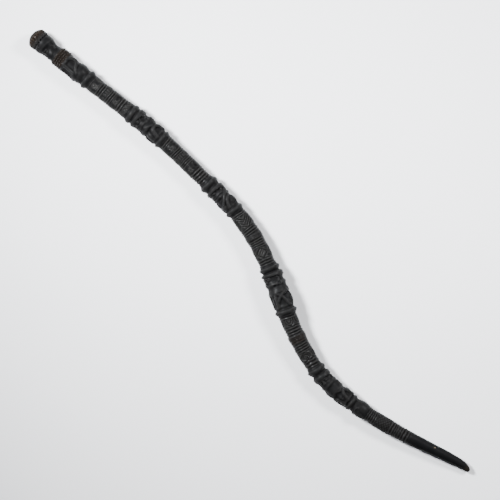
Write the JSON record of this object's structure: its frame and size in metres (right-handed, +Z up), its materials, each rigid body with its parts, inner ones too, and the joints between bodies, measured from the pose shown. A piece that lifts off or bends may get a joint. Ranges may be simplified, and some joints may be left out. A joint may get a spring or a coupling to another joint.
{
  "type": "carved walking stick",
  "caption": "One-piece staff of dark carved hardwood with a gentle S-bend: squatting figures and sharp collars alternate with ringed, incised shaft, and it ends in a plain tapered foot.",
  "frame": {"origin": "on the surface that the stick lies on, under the middle of its outline seen from above", "axes": "+X runs along the stick from its capped top end to its foot, +Y is the side that the upper bend bows towards, +Z is up, away from the surface it lies on"},
  "size_m": [0.8872, 0.1082, 0.0336],
  "materials": {
    "dark_wood": "satin, hand-polished, with brown wear in the cut bands"
  },
  "bodies": {
    "root": {"walking_stick": "dark_wood"}
  },
  "joints": []
}
